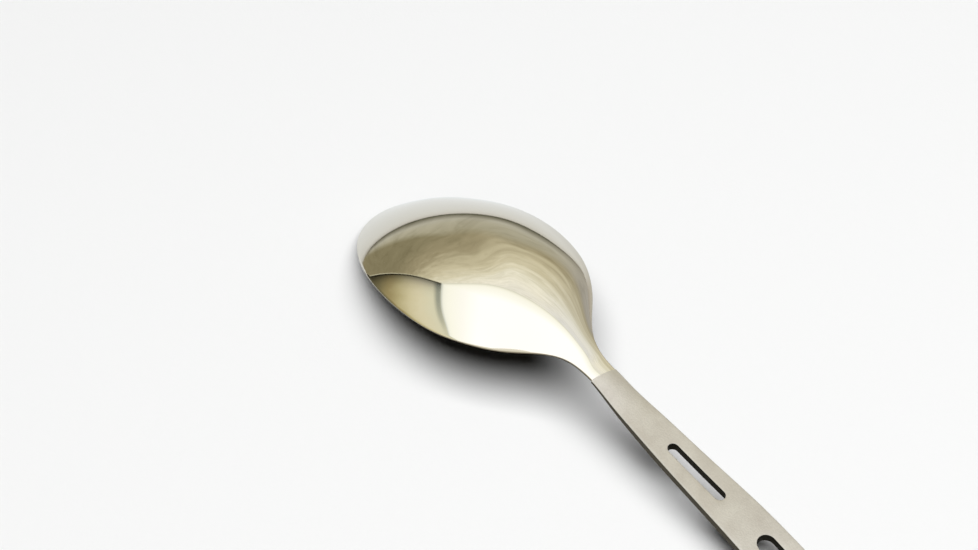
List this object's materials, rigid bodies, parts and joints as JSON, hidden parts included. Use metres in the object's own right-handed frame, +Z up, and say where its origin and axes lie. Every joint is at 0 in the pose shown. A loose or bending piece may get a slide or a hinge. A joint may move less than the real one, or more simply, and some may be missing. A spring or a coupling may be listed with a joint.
{
  "type": "titanium camp spoon",
  "caption": "Camp spoon with a mirror-polished oval bowl and a flat matt tapering handle pierced by slots and a hanging hole, lying bowl down.",
  "frame": {"origin": "on the table under the middle of the spoon's length and width, with the spoon lying bowl down", "axes": "+X from the bowl's tip towards the end of the handle, +Z up from the table; the spoon is the same on both sides of the XZ plane"},
  "size_m": [0.16, 0.0406, 0.019],
  "materials": {
    "polished_titanium": "mirror-polished titanium, slightly warm",
    "blasted_titanium": "bead-blasted matt titanium, warm grey"
  },
  "bodies": {
    "root": {"bowl": "polished_titanium", "handle": "blasted_titanium"}
  },
  "joints": []
}
